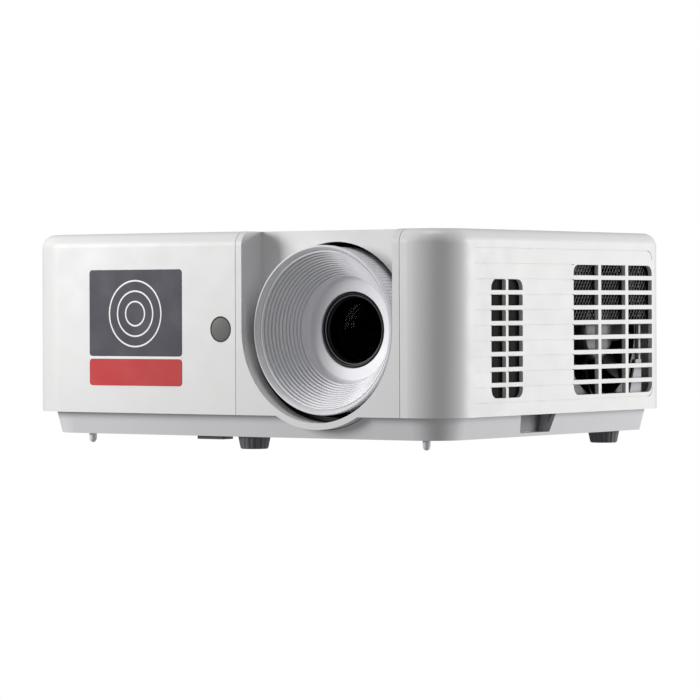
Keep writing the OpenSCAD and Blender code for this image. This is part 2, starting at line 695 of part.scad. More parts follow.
// Key outline: round for square sizes, else a rounded bar
module key_outline(name, grow) {
    s = key_size(name);
    if (s[0] == s[1]) circle(s[0] / 2 + grow);
    else {
        a = s[0] / 2 + grow;
        b = s[1] / 2 + grow;
        r = 1.5 + grow;
        translate([-a + r, -b]) square([2 * (a - r), 2 * b]);
        translate([-a, -b + r]) square([2 * a, 2 * (b - r)]);
        for (x = [-a + r, a - r], y = [-b + r, b - r]) translate([x, y]) circle(r);
    }
}

bezel_low = case_h - 4;
keypad_z = case_h - 13.5;
light_xy = [[-84, 80], [-84, 74], [-84, 68]];

module keypad_bezel() color("darkgray") difference() {
    union() {
        box(bezel_centre[0] - bezel_half[0], bezel_centre[0] + bezel_half[0],
            bezel_centre[1] - bezel_half[1], bezel_centre[1] + bezel_half[1], bezel_low, case_h);
        box(bezel_centre[0] - bezel_half[0] - 3, bezel_centre[0] + bezel_half[0] + 3,
            bezel_centre[1] - bezel_half[1] - 3, bezel_centre[1] + bezel_half[1] + 3,
            bezel_low, case_h - wall - 0.1);
        for (x = [-34, 34], y = [-28, 28])
            upright([bezel_centre[0] + x, bezel_centre[1] + y], keypad_z + 1.7, bezel_low + 0.5, 2.5);
    }
    for (n = key_names) translate([key_xy(n)[0], key_xy(n)[1], bezel_low - eps])
        linear_extrude(6) key_outline(n, air);
    for (p = light_xy) upright(p, bezel_low - eps, case_h + eps, 1.55);
}

module keypad_board() color("darkgreen") {
    box(pad_x - 38, pad_x + 38, 24, 88, keypad_z, keypad_z + 1.6);
    for (n = key_names) translate([key_xy(n)[0] - 3, key_xy(n)[1] - 3, keypad_z + 1.5]) cube([6, 6, 3]);
}

module status_lights() color("lightblue") for (p = light_xy) upright(p, keypad_z + 1.8, case_h + 0.2, 1.45);

module key(name) translate([key_xy(name)[0], key_xy(name)[1], 0]) {
    translate([0, 0, bezel_low - 1.6]) linear_extrude(key_top - bezel_low + 1.6) key_outline(name, 0);
    translate([0, 0, bezel_low - 1.6]) linear_extrude(1.3) key_outline(name, 1.2);
    translate([0, 0, keypad_z + 5.6]) cylinder(h = bezel_low - keypad_z - 6.6, r = 1.6);
}

module key_power() color("gainsboro") key("power");
module key_menu() color("gainsboro") key("menu");
module key_source() color("gainsboro") key("source");
module key_up() color("gainsboro") key("up");
module key_down() color("gainsboro") key("down");
module key_left() color("gainsboro") key("left");
module key_right() color("gainsboro") key("right");
module key_enter() color("gainsboro") key("enter");

// Screw-in foot: tapered pad, stud and a groove that holds its clip
module foot(xy, clip_z, top) translate([xy[0], xy[1], 0]) rotate_extrude() polygon([
    [0, 0], [7.6, 0], [8, 0.5], [9.3, 6.6], [9, under_z - 0.1], [4, under_z - 0.1], [4, clip_z],
    [3.2, clip_z], [3.2, clip_z + 1.8], [4, clip_z + 1.8], [4, top - 0.6], [3.4, top], [0, top]]);

module foot_clip(xy, clip_z) translate([xy[0], xy[1], clip_z + 0.15]) difference() {
    cylinder(h = 1.5, r = 6);
    translate([0, 0, -eps]) cylinder(h = 4, r = 3.2 + fit);
    translate([2, -1.2, -eps]) cube([6, 2.4, 4]);
}

front_clip_z = 31.2;
rear_clip_z = 19.4;

module front_foot() color("darkslategray") foot(front_foot_xy, front_clip_z, 35);
module rear_left_foot() color("darkslategray") foot(rear_left_xy, rear_clip_z, 22.4);
module rear_right_foot() color("darkslategray") foot(rear_right_xy, rear_clip_z, 22.4);
module front_foot_clip() color("silver") foot_clip(front_foot_xy, front_clip_z);
module rear_left_clip() color("silver") foot_clip(rear_left_xy, rear_clip_z);
module rear_right_clip() color("silver") foot_clip(rear_right_xy, rear_clip_z);

module front_pad() color("black") box(pad_xy[0] - 9, pad_xy[0] + 9, pad_xy[1] - 5, pad_xy[1] + 5, under_z - 2, under_z - 0.02);

module mount_inserts() color("goldenrod") for (p = insert_xy) difference() {
    upright(p, under_z + 0.2, under_z + 7.9, 3);
    upright(p, under_z - eps, under_z + 9, 2);
}

module cover_screws() color("silver") for (p = cover_post_xy) {
    upright(p, under_z + 3.4, under_z + 5.8, 2.9);
    upright(p, under_z + 5, split_z + 16, 1.45);
}

top_cover();
lens_bay();
bottom_case();
io_panel();
ir_window();
front_label();
focus_ring();
lens_barrel();
focus_cell();
front_lens();
zoom_ring();
zoom_cell();
zoom_lens();
engine_housing();
engine_lid();
prism();
dmd_board();
dmd_heatsink();
wheel_housing();
wheel_motor();
phosphor_wheel();
laser_module();
laser_heatsink();
heat_pipes();
intake_fan_frame();
intake_rotor();
exhaust_fan_frame();
exhaust_rotor();
fan_bracket();
vent_meshes();
main_board();
hdmi_ports();
lan_port();
usb_port();
dsub_ports();
audio_jacks();
ac_inlet();
power_board();
power_parts();
speaker();
keypad_bezel();
keypad_board();
status_lights();
key_power();
key_menu();
key_source();
key_up();
key_down();
key_left();
key_right();
key_enter();
front_foot();
front_foot_clip();
rear_left_foot();
rear_left_clip();
rear_right_foot();
rear_right_clip();
front_pad();
mount_inserts();
cover_screws();
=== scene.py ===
"""Compact laser projector: materials, detailed pieces, light and camera around the CAD model."""
import bpy, bmesh, json, math
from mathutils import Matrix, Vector


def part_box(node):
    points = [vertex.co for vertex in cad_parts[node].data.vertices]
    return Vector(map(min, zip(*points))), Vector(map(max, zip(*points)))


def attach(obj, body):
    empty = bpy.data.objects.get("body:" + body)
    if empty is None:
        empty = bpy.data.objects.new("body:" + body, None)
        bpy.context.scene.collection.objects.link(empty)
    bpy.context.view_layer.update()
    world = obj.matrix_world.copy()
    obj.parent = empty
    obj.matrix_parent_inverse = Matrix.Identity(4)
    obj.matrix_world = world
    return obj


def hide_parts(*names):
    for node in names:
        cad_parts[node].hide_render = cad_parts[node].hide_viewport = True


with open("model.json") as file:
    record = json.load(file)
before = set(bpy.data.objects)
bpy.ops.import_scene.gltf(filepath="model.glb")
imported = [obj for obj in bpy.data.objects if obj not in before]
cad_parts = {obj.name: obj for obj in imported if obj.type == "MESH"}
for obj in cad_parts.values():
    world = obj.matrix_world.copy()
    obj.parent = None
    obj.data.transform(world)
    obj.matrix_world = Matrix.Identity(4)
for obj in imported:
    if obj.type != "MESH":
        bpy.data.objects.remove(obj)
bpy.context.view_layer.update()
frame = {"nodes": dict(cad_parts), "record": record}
NODES = frame["nodes"]
MM = 0.001

# ---------------------------------------------------------------- camera
CAMERA_AT = (1.2046, -1.6896, 0.0813)
CAMERA_AZIMUTH = 35.4
CAMERA_ROLL = 0.2
LENS = 180.0
SHIFT_Y = -0.0635

camera_data = bpy.data.cameras.new("camera")
camera_data.lens = LENS
camera_data.sensor_width = 36.0
camera_data.shift_y = SHIFT_Y
camera_data.clip_end = 50.0
camera = bpy.data.objects.new("camera", camera_data)
bpy.context.scene.collection.objects.link(camera)
camera.location = CAMERA_AT
camera.rotation_euler = (math.radians(90), math.radians(CAMERA_ROLL), math.radians(CAMERA_AZIMUTH))
bpy.context.scene.camera = camera


# ---------------------------------------------------------------- materials
class Shader:
    """A node material whose Principled sockets are set by name."""

    def __init__(self, name, color, roughness, **sockets):
        self.material = bpy.data.materials.new(name)
        self.material.use_nodes = True
        self.nodes = self.material.node_tree.nodes
        self.links = self.material.node_tree.links
        self.out = self.nodes["Principled BSDF"]
        self.color = color
        self.out.inputs["Base Color"].default_value = (*color, 1)
        self.out.inputs["Roughness"].default_value = roughness
        for key, value in sockets.items():
            self.out.inputs[key.replace("_", " ")].default_value = value
        self.place = self.nodes.new("ShaderNodeTexCoord").outputs["Object"]

    def noise(self, scale, detail=3.0, stretch=(1, 1, 1)):
        """Noise in the row frame: scale is the number of features per metre."""
        mapping = self.nodes.new("ShaderNodeMapping")
        mapping.inputs["Scale"].default_value = stretch
        self.links.new(self.place, mapping.inputs["Vector"])
        texture = self.nodes.new("ShaderNodeTexNoise")
        texture.inputs["Scale"].default_value = scale
        texture.inputs["Detail"].default_value = detail
        self.links.new(mapping.outputs["Vector"], texture.inputs["Vector"])
        return texture.outputs["Fac"]

    def vary_color(self, fac, spread):
        """Lets the base colour drift by spread, darker to lighter, as fac goes from 0.35 to 0.65."""
        ramp = self.nodes.new("ShaderNodeValToRGB")
        low = [max(0.0, c * (1 - spread)) for c in self.color]
        high = [min(1.0, c * (1 + spread)) for c in self.color]
        ramp.color_ramp.elements[0].position = 0.35
        ramp.color_ramp.elements[0].color = (*low, 1)
        ramp.color_ramp.elements[1].position = 0.65
        ramp.color_ramp.elements[1].color = (*high, 1)
        self.links.new(fac, ramp.inputs["Fac"])
        self.links.new(ramp.outputs["Color"], self.out.inputs["Base Color"])
        return self

    def vary_roughness(self, fac, low, high):
        span = self.nodes.new("ShaderNodeMapRange")
        span.inputs["From Min"].default_value = 0.3
        span.inputs["From Max"].default_value = 0.7
        span.inputs["To Min"].default_value = low
        span.inputs["To Max"].default_value = high
        self.links.new(fac, span.inputs["Value"])
        self.links.new(span.outputs["Result"], self.out.inputs["Roughness"])
        return self

    def bump(self, fac, depth, strength=1.0):
        """Bump whose full height is depth, in metres."""
        node = self.nodes.new("ShaderNodeBump")
        node.inputs["Strength"].default_value = strength
        node.inputs["Distance"].default_value = depth
        self.links.new(fac, node.inputs["Height"])
        self.links.new(node.outputs["Normal"], self.out.inputs["Normal"])
        return self



def moulded(name, color, roughness=0.45, grain=2600, depth=0.00003, spread=0.02, **sockets):
    """Moulded plastic: spark-eroded grain in the bump, slow drift of colour and gloss."""
    s = Shader(name, color, roughness, **sockets)
    s.vary_color(s.noise(14, 2), spread)
    s.vary_roughness(s.noise(60, 4), roughness - 0.05, roughness + 0.05)
    return s.bump(s.noise(grain, 2), depth).material


def metal(name, color, roughness=0.35, stretch=(1, 1, 1), scale=900, depth=0.00002, spread=0.06):
    """Bare metal with brush marks along the axis that stretch keeps small."""
    s = Shader(name, color, roughness, Metallic=1.0)
    grain = s.noise(scale, 4, stretch)
    s.vary_color(grain, spread)
    s.vary_roughness(grain, roughness - 0.1, roughness + 0.1)
    return s.bump(grain, depth).material


def glass(name, color, roughness, **sockets):
    s = Shader(name, color, roughness, **sockets)
    s.vary_roughness(s.noise(40, 2), roughness, roughness + 0.02)
    return s.material


M = {
    "cover_white": moulded("cover_white", (0.78, 0.78, 0.775), 0.42, spread=0.008),
    "bay_white": moulded("bay_white", (0.75, 0.75, 0.755), 0.42, spread=0.008),
    "base_grey": moulded("base_grey", (0.72, 0.72, 0.74), 0.45, spread=0.01),
    "ring_white": moulded("ring_white", (0.82, 0.82, 0.85), 0.36, spread=0.01),
    "panel_grey": moulded("panel_grey", (0.05, 0.05, 0.055), 0.5),
    "window_smoke": moulded("window_smoke", (0.085, 0.083, 0.078), 0.5, depth=0.000004),
    "label_slate": moulded("label_slate", (0.040, 0.037, 0.056), 0.6, depth=0.00001, spread=0.05),
    "label_red": moulded("label_red", (0.56, 0.012, 0.014), 0.6, depth=0.00001, spread=0.04),
    "label_white": moulded("label_white", (0.86, 0.86, 0.85), 0.36, depth=0.00001),
    "lens_black": moulded("lens_black", (0.004, 0.004, 0.0045), 0.38, depth=0.00001, Specular_IOR_Level=0.25),
    # Black of the lens baffles; also painted shade on the sleeve behind the ring's gap and on the bay liner.
    "baffle_black": moulded("baffle_black", (0.004, 0.004, 0.004), 0.6),
    "coated_glass": glass("coated_glass", (0.05, 0.055, 0.085), 0.0, Transmission_Weight=1.0, IOR=1.05),
    "optical_glass": glass("optical_glass", (0.9, 0.97, 0.96), 0.0, Transmission_Weight=1.0, IOR=1.52),
    "cast_metal": metal("cast_metal", (0.42, 0.43, 0.45), 0.5, scale=1500, depth=0.00006),
    "fin_metal": metal("fin_metal", (0.72, 0.73, 0.75), 0.3, (1, 1, 0.03)),
    "phosphor": metal("phosphor", (0.85, 0.78, 0.30), 0.2, (0.05, 1, 1)),
    "copper": metal("copper", (0.80, 0.40, 0.24), 0.28, (1, 0.03, 1)),
    "fan_black": moulded("fan_black", (0.012, 0.012, 0.013), 0.42),
    "rotor_grey": moulded("rotor_grey", (0.045, 0.045, 0.05), 0.4),
    "bracket_grey": moulded("bracket_grey", (0.36, 0.37, 0.39), 0.5),
    "filter_foam": moulded("filter_foam", (0.022, 0.022, 0.019), 0.9, grain=900, depth=0.0006, spread=0.3,
                           Specular_IOR_Level=0.1),
    "mesh_black": metal("mesh_black", (0.03, 0.03, 0.032), 0.45),
    "circuit_green": moulded("circuit_green", (0.012, 0.10, 0.045), 0.3, grain=700, depth=0.00004,
                             spread=0.2),
    "chip_black": moulded("chip_black", (0.015, 0.015, 0.016), 0.5),
    "port_steel": metal("port_steel", (0.70, 0.70, 0.72), 0.25, (1, 0.03, 1)),
    "port_blue": moulded("port_blue", (0.02, 0.07, 0.42), 0.4),
    "port_black": moulded("port_black", (0.012, 0.012, 0.012), 0.45),
    "power_mixed": moulded("power_mixed", (0.60, 0.48, 0.08), 0.4, spread=0.15),
    "bezel_grey": moulded("bezel_grey", (0.33, 0.335, 0.35), 0.42),
    "light_clear": glass("light_clear", (0.75, 0.85, 1.0), 0.05, Transmission_Weight=0.8, IOR=1.49),
    # Darker grey for the back wall of the finger notch: painted shade.
    "notch_shade_grey": moulded("notch_shade_grey", (0.20, 0.20, 0.225), 0.6, spread=0.08),
    "key_grey": moulded("key_grey", (0.66, 0.66, 0.68), 0.4),
    # Dark of the printed marks on the keys; also painted shade in the screws' cross recesses.
    "mark_and_recess_shade": moulded("mark_and_recess_shade", (0.06, 0.06, 0.07), 0.45),
    "foot_rubber": moulded("foot_rubber", (0.13, 0.13, 0.14), 0.6, spread=0.1),
    "steel": metal("steel", (0.58, 0.58, 0.60), 0.32),
    "brass": metal("brass", (0.78, 0.60, 0.28), 0.3),
    "gold_pin": metal("gold_pin", (0.85, 0.66, 0.30), 0.25),
}
SLOT_LOOK = {"label_print": "label_slate"}
OWN_LOOK = {"lens_bay": "bay_white", "intake_rotor": "rotor_grey", "exhaust_rotor": "rotor_grey"}


def paint(obj, look):
    obj.data.materials.clear()
    obj.data.materials.append(M[look])


slot_of = {row["node"]: row["material_slot"] for row in frame["record"]["subparts"]}
for name, node in NODES.items():
    paint(node, OWN_LOOK.get(name, SLOT_LOOK.get(slot_of[name], slot_of[name])))


# ---------------------------------------------------------------- shading of the CAD nodes
SHARP_FROM = 25


for node in NODES.values():
    for polygon in node.data.polygons:
        polygon.use_smooth = True
    node.data.set_sharp_from_angle(angle=math.radians(SHARP_FROM))
    flat = node.modifiers.new("flat_panels", "WEIGHTED_NORMAL")
    flat.weight = 100
    flat.keep_sharp = True


# ---------------------------------------------------------------- mesh helpers
def finish_piece(name, bm, look, body, smooth=35, replaces=()):
    """Turns a bmesh in millimetres into a painted piece that rides on a body."""
    bmesh.ops.scale(bm, vec=(MM, MM, MM), verts=bm.verts)
    bmesh.ops.recalc_face_normals(bm, faces=bm.faces)
    mesh = bpy.data.meshes.new(name)
    bm.to_mesh(mesh)
    bm.free()
    piece = bpy.data.objects.new(name, mesh)
    bpy.context.scene.collection.objects.link(piece)
    for polygon in mesh.polygons:
        polygon.use_smooth = True
    mesh.set_sharp_from_angle(angle=math.radians(smooth))
    paint(piece, look)
    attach(piece, body)
    if replaces:
        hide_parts(*replaces)
    return piece


def add_lathe(bm, profile, at, turns=96, axis="y", closed=True):
    """Sweeps (radius, height) points around an axis through at; closed joins the last point to the first."""
    rings = []
    for k in range(turns):
        a = 2 * math.pi * k / turns
        c, s = math.cos(a), math.sin(a)
        place = {"y": lambda r, h: (r * c, h, r * s), "z": lambda r, h: (r * c, r * s, h),
                 "x": lambda r, h: (h, r * c, r * s)}[axis]
        rings.append([bm.verts.new(Vector(at) + Vector(place(r, h))) for r, h in profile])
    last = len(profile) if closed else len(profile) - 1
    for k in range(turns):
        one, two = rings[k], rings[(k + 1) % turns]
        for i in range(last):
            j = (i + 1) % len(profile)
            bm.faces.new((one[i], one[j], two[j], two[i]))
    bmesh.ops.remove_doubles(bm, verts=bm.verts, dist=0.0005)


def add_prism(bm, outline, low, high, place):
    """Closed prism: outline is a list of 2D points, place(a, b, h) puts a point in space."""
    bottom = [bm.verts.new(place(a, b, low)) for a, b in outline]
    top = [bm.verts.new(place(a, b, high)) for a, b in outline]
    bm.faces.new(bottom)
    bm.faces.new(top[::-1])
    for i in range(len(outline)):
        j = (i + 1) % len(outline)
        bm.faces.new((bottom[j], bottom[i], top[i], top[j]))


def along_x(a, b, h): return (h, a, b)
def along_y(a, b, h): return (a, h, b)
def along_z(a, b, h): return (a, b, h)


def add_box(bm, low, high):
    add_prism(bm, [(low[0], low[1]), (high[0], low[1]), (high[0], high[1]), (low[0], high[1])],
              low[2], high[2], along_z)


def round_rect(x0, x1, y0, y1, r, steps=6):
    points = []
    corners = ((x1 - r, y1 - r, 0), (x0 + r, y1 - r, 90), (x0 + r, y0 + r, 180), (x1 - r, y0 + r, 270))
    for cx, cy, start in corners:
        for k in range(steps + 1):
            a = math.radians(start + 90 * k / steps)
            points.append((cx + r * math.cos(a), cy + r * math.sin(a)))
    return points


def circle_points(cx, cy, r, count=32):
    turns = [2 * math.pi * k / count for k in range(count)]
    return [(cx + r * math.cos(a), cy + r * math.sin(a)) for a in turns]


def arc_points(cx, cy, r, start, end, steps):
    """Points on an arc, angles in degrees."""
    return [(cx + r * math.cos(math.radians(start + (end - start) * k / steps)),
             cy + r * math.sin(math.radians(start + (end - start) * k / steps))) for k in range(steps + 1)]


def add_skin(bm, loops, closed=True):
    """Skins a chain of vertex loops that have the same count; closed joins the last loop to the first."""
    for one, two in zip(loops, loops[1:] + loops[:1] if closed else loops[1:]):
        for i in range(len(one)):
            j = (i + 1) % len(one)
            bm.faces.new((one[i], one[j], two[j], two[i]))


def add_sleeve(bm, rings, place):
    """Closed sleeve: each ring is an outline of 2D points and the height it lies at."""
    add_skin(bm, [[bm.verts.new(place(a, b, h)) for a, b in outline] for outline, h in rings])


def bevel_all(bm, width, segments=2):
    """Rounds every edge that turns by more than about 35 degrees."""
    bmesh.ops.recalc_face_normals(bm, faces=bm.faces)
    edges = [e for e in bm.edges if len(e.link_faces) == 2 and e.calc_face_angle(0) > 0.6]
    bmesh.ops.bevel(bm, geom=edges, offset=width, segments=segments, profile=0.7, affect="EDGES")


def node_box(name):
    """A CAD node's box in millimetres."""
    low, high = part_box(name)
    return low / MM, high / MM


# ---------------------------------------------------------------- focus ring
def centre(low, high): return (low + high) / 2


RING_LOW, RING_HIGH = node_box("focus_ring")
LENS_AT = centre(RING_LOW, RING_HIGH)
AXIS = (LENS_AT.x, 0, LENS_AT.z)
RIM_R = (RING_HIGH.x - RING_LOW.x) / 2
RIM_Y = RING_LOW.y
FUNNEL_TO = (30.5, 24.9)
FUNNEL_FROM = (RIM_R - 1.5, 1.0)
FUNNEL_EDGE = (RIM_R - 2.9, 2.7)
FUNNEL_GROOVES = 12
RIB_COUNT = 140


def funnel_profile():
    """Terraces from the flange out to the rim: a riser facing the axis, a tread facing the front, a slot."""
    run = (FUNNEL_EDGE[0] - FUNNEL_TO[0], FUNNEL_EDGE[1] - FUNNEL_TO[1])
    soft, slot_width, slot_depth = 0.22, 0.42, 0.6
    points = []
    for i in range(FUNNEL_GROOVES):
        r, h = (FUNNEL_TO[k] + run[k] * i / FUNNEL_GROOVES for k in (0, 1))
        r2, h2 = (FUNNEL_TO[k] + run[k] * (i + 1) / FUNNEL_GROOVES for k in (0, 1))
        points += [(r, h), (r, h2 + soft), (r + soft, h2), (r2 - slot_width, h2),
                   (r2 - slot_width + 0.04, h2 + slot_depth), (r2, h2 + slot_depth)]
    return points + [FUNNEL_EDGE]


def focus_ring():
    rim = arc_points(RIM_R - 0.75, 0.75, 0.75, -110, 0, 8)
    flange = ([(26.05, 51.0), (26.05, 31.9), (21.6, 31.9), (21.6, 30.2)]
              + arc_points(22.3, 30.2, 0.7, 180, 270, 4)
              + [(25.5, 29.35), (27.6, 29.0)] + arc_points(27.6, 26.4, 2.6, 80, 20, 4))
    back = [(RIM_R, 3.0), (RIM_R - 0.4, 3.4), (RIM_R - 1.5, 3.8), (RIM_R - 1.5, 35.8), (RIM_R - 3.8, 35.8),
            (RIM_R - 3.8, 11.5), (33.6, 27.2), (31.6, 30.0), (29.0, 30.6), (29.0, 51.0)]
    profile = funnel_profile() + [FUNNEL_FROM] + rim + back + flange
    bm = bmesh.new()
    add_lathe(bm, [(r, RIM_Y + h) for r, h in profile], AXIS, turns=160)
    finish_piece("focus_ring_body", bm, "ring_white", "focus_ring", smooth=50,
                 replaces=("focus_ring",))
    focus_ring_ribs()


def focus_ring_ribs():
    outline = []
    for k in range(RIB_COUNT):
        for step, height in ((0.0, 0.0), (0.18, 0.55), (0.5, 0.62), (0.82, 0.55)):
            a = 2 * math.pi * (k + step) / RIB_COUNT
            r = RIM_R - 1.52 + height
            outline.append((LENS_AT.x + r * math.cos(a), LENS_AT.z + r * math.sin(a)))
    inner = circle_points(LENS_AT.x, LENS_AT.z, RIM_R - 2.2, len(outline))
    front, rear = RIM_Y + 4.6, RIM_Y + 34.6
    bm = bmesh.new()
    add_sleeve(bm, ((outline, front), (outline, rear), (inner, rear), (inner, front)), along_y)
    finish_piece("focus_ring_ribs", bm, "ring_white", "focus_ring", smooth=30)


focus_ring()


def ring_gap_shade():
    """Black sleeve inside the case, behind the hole that the ring turns in: painted shade that makes the gap around the
    ring read dark.
    """
    start, end = RIM_Y + 16.2, RIM_Y + 46
    bm = bmesh.new()
    add_lathe(bm, [(RIM_R + 1.9, start), (RIM_R + 2.6, start), (RIM_R + 2.6, end), (RIM_R - 9, end),
                   (RIM_R - 9, end - 0.8), (RIM_R + 1.9, end - 0.8)], AXIS, turns=96)
    finish_piece("ring_gap_shade", bm, "baffle_black", "root", smooth=30)


ring_gap_shade()


def bay_shade_liner():
    """Thin black liner on the deep part of the bay's wall and on its back wall, around the lower half of the ring:
    painted shade where the bay lies in shadow.
    """
    wall, hole, back, steps = RIM_R + 4.22, RIM_R + 2.02, RIM_Y + 13.7, 72
    bm = bmesh.new()
    rows = []
    for k in range(steps + 1):
        a = math.radians(180 + 180 * k / steps)
        front = RIM_Y + 6.6 + 0.5 * math.cos(a)
        section = ((wall, front), (wall, back), (hole, back), (hole, back - 0.25),
                   (wall - 0.3, back - 0.25), (wall - 0.3, front))
        rows.append([bm.verts.new((AXIS[0] + r * math.cos(a), y, AXIS[2] + r * math.sin(a)))
                     for r, y in section])
    add_skin(bm, rows, closed=False)
    bm.faces.new(rows[0])
    bm.faces.new(rows[-1][::-1])
    finish_piece("bay_shade_liner", bm, "baffle_black", "root", smooth=30)


bay_shade_liner()


# ---------------------------------------------------------------- lens
CELL_LOW, CELL_HIGH = node_box("focus_cell")


def lens_parts():
    y = CELL_LOW.y
    bm = bmesh.new()
    front = [(18.3, y + 5.0), (18.3, y + 3.2), (18.9, y + 2.4), (19.1, y + 1.2), (19.6, y + 0.9),
             (19.7, y + 0.35)] \
        + [(20.0, y + 0.1), (20.3, y), (20.6, y), (20.9, y + 0.15), (21.05, y + 0.5), (21.1, y + 1.2),
           (21.1, y + 4.0), (21.8, y + 4.2), (21.8, CELL_HIGH.y), (19.6, CELL_HIGH.y), (19.6, y + 5.6)]
    add_lathe(bm, front, AXIS, turns=128)
    finish_piece("lens_cell", bm, "lens_black", "focus_group", smooth=25,
                 replaces=("focus_cell",))

    # Thin lighter metal ring on the front of the cell: a painted highlight for the light line on its bevel
    bm = bmesh.new()
    add_lathe(bm, [(19.22, y + 1.05), (19.5, y + 0.85), (19.62, y + 0.95), (19.34, y + 1.2)], AXIS, turns=128)
    finish_piece("lens_cell_highlight_ring", bm, "cast_metal", "focus_group")

    glass_low, glass_high = node_box("front_lens")
    bm = bmesh.new()
    r = 19.4
    sag = 3.1
    ball = (r * r + sag * sag) / (2 * sag)
    edge = glass_low.y + sag
    steps = 20
    dome = [(r * k / steps, edge + ball - sag - math.sqrt(ball * ball - (r * k / steps) ** 2))
            for k in range(steps + 1)]
    rear = [(r * k / steps, edge + 4.0 + 2.2 * (1 - (k / steps) ** 2)) for k in range(steps, -1, -1)]
    add_lathe(bm, [(max(0.0001, a), b) for a, b in dome + rear], AXIS, turns=96, closed=False)
    finish_piece("front_element", bm, "coated_glass", "focus_group",
                 replaces=("front_lens",))

    # Stepped black baffles that narrow towards the stop
    bm = bmesh.new()
    start = glass_high.y + 0.8
    points = []
    for k in range(5):
        r = 18.6 - 1.9 * k
        points += [(r, start + 1.6 * k), (r - 1.3, start + 1.6 * k + 0.15), (r - 1.3, start + 1.6 * (k + 1))]
    points += [(8.0, start + 8.4), (8.0, start + 9.0), (19.3, start + 9.0), (19.3, start)]
    add_lathe(bm, points, AXIS, turns=96)
    finish_piece("lens_baffles", bm, "baffle_black", "focus_group", smooth=20)


lens_parts()


# ---------------------------------------------------------------- front badge and infrared window
def front_badge():
    low, high = node_box("front_label")
    back, front = high.y, low.y
    split = low.z + 16.2
    bm = bmesh.new()
    add_prism(bm, round_rect(low.x, high.x, split + 0.8, high.z, 2.0), back, front, along_y)
    finish_piece("badge_panel", bm, "label_slate", "root", replaces=("front_label",))
    bm = bmesh.new()
    add_prism(bm, round_rect(low.x, high.x, low.z, split - 0.8, 2.0), back, front, along_y)
    finish_piece("badge_stripe", bm, "label_red", "root")
    bm = bmesh.new()
    add_prism(bm, round_rect(low.x, high.x, split - 0.62, split + 0.62, 0.3), back, front + 0.04, along_y)
    mid_x, mid_z = (low.x + high.x) / 2, (split + high.z) / 2
    for r in (7.0, 13.0, 19.0):
        section = [(r - 0.45, front - 0.04), (r + 0.45, front - 0.04), (r + 0.45, back), (r - 0.45, back)]
        add_lathe(bm, section, (mid_x, 0, mid_z), turns=72)
    finish_piece("badge_lines", bm, "label_white", "root")


def ir_window():
    low, high = node_box("ir_window")
    at = ((low.x + high.x) / 2, 0, (low.z + high.z) / 2)
    face = low.y
    bm = bmesh.new()
    dome = [(6.6 * k / 8, face + 0.02 + 0.25 * (k / 8) ** 2) for k in range(9)]
    body = [(6.7, face + 0.6), (6.7, face + 2.6), (0.0001, face + 2.6)]
    add_lathe(bm, [(max(0.0001, r), y) for r, y in dome] + body, at, turns=64, closed=False)
    finish_piece("ir_lens", bm, "window_smoke", "root", replaces=("ir_window",))
    bm = bmesh.new()
    add_lathe(bm, [(6.75, face + 0.5), (6.85, face + 0.12), (7.1, face + 0.05), (7.3, face + 0.3),
                   (7.3, face + 2.8), (6.75, face + 2.8)], at, turns=64)
    finish_piece("ir_ring", bm, "chip_black", "root")


front_badge()
ir_window()


# ---------------------------------------------------------------- woven wire behind the vents
WIRE_PITCH = 1.9
WIRE_R = 0.26
CORNER_R = 22.6


def add_wire(bm, p, q, x, half):
    """Square wire from p to q in the YZ plane at depth x."""
    d = Vector((q[0] - p[0], q[1] - p[1]))
    if d.length < 0.5:
        return
    n = Vector((-d.y, d.x)).normalized() * half
    add_prism(bm, [(p[0] + n.x, p[1] + n.y), (p[0] - n.x, p[1] - n.y), (q[0] - n.x, q[1] - n.y),
                   (q[0] + n.x, q[1] + n.y)], x - half, x + half, along_x)


def add_weave(bm, x, y0, y1, z0, z1, slope=1.35):
    """Two families of slanted wires that cross, cut off at the frame."""
    step = WIRE_PITCH * math.hypot(1, slope)
    span = (z1 - z0) / slope
    for side, depth in ((1, x + WIRE_R), (-1, x - WIRE_R)):
        start = y0 - span if side > 0 else y0
        end = y1 if side > 0 else y1 + span
        y = start
        while y < end:
            ends = []
            for z in (z0, z1):
                ends.append((y + side * (z - z0) / slope, z))
            (ya, za), (yb, zb) = ends
            pieces = []
            for yy, zz in ((ya, za), (yb, zb)):
                if yy < y0:
                    zz = z0 + (y0 - y) / side * slope
                    yy = y0
                elif yy > y1:
                    zz = z0 + (y1 - y) / side * slope
                    yy = y1
                pieces.append((yy, min(max(zz, z0), z1)))
            add_wire(bm, pieces[0], pieces[1], depth, WIRE_R)
            y += step


def vent_wires():
    low, high = node_box("vent_meshes")
    frame_width = 2
    sheets = {"mesh_exhaust": (high.x - 0.6, 12, 104, 69.5, 108),
              "mesh_intake": (low.x + 0.6, -88, -12, 26, 108)}
    for i, (name, (x, y0, y1, z0, z1)) in enumerate(sheets.items()):
        bm = bmesh.new()
        add_weave(bm, x, y0 + 1, y1 - 1, z0 + 1, z1 - 1)
        inner0, inner1 = z0 + frame_width, z1 - frame_width
        for a, b, c, d in ((y0, y1, z0, inner0), (y0, y1, inner1, z1),
                           (y0, y0 + frame_width, inner0, inner1), (y1 - frame_width, y1, inner0, inner1)):
            add_box(bm, (x - 0.6, a, c), (x + 0.6, b, d))
        finish_piece(name, bm, "mesh_black", "root",
                     replaces=("vent_meshes",) if i == 0 else ())


def filter_pads():
    """Foam behind the small vents, one on each side."""
    low, high = node_box("vent_meshes")
    for name, x, y0, y1 in (("filter_right", high.x - 1.2, -74, -36), ("filter_left", low.x + 0.2, 36, 74)):
        bm = bmesh.new()
        add_prism(bm, round_rect(y0, y1, 26, 100, 3), x, x + 1.0, along_x)
        bevel_all(bm, 0.25)
        finish_piece(name, bm, "filter_foam", "root")


